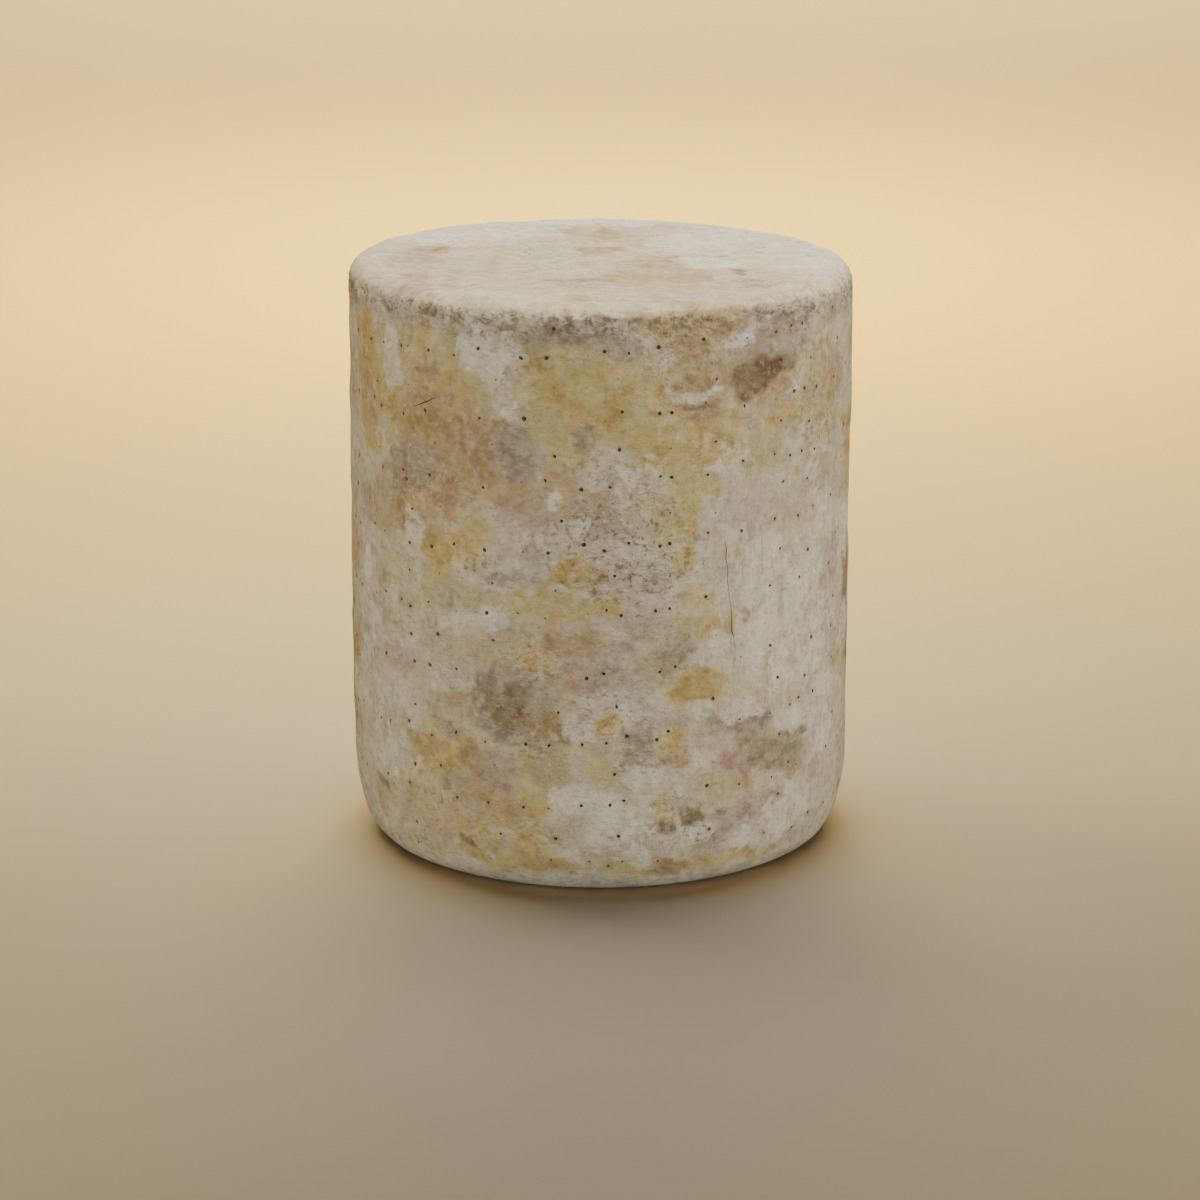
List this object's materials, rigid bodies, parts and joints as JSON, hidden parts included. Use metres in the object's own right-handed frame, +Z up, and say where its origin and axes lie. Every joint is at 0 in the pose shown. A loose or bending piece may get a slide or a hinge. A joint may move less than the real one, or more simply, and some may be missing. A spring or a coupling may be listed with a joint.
{
  "type": "stilton cheese",
  "caption": "Tall drum of blue cheese with a flat top, soft lower edge and dry, mottled natural rind, pierced all round by rows of small needle holes.",
  "frame": {"origin": "centre of the flat base, on the surface that the cheese stands on", "axes": "+Z up along the drum's height, -Y towards the side that faces the viewer"},
  "size_m": [0.2005, 0.2007, 0.2338],
  "materials": {
    "rind": "dry, chalky, mottled natural rind"
  },
  "bodies": {
    "root": {"cheese": "rind"}
  },
  "joints": []
}
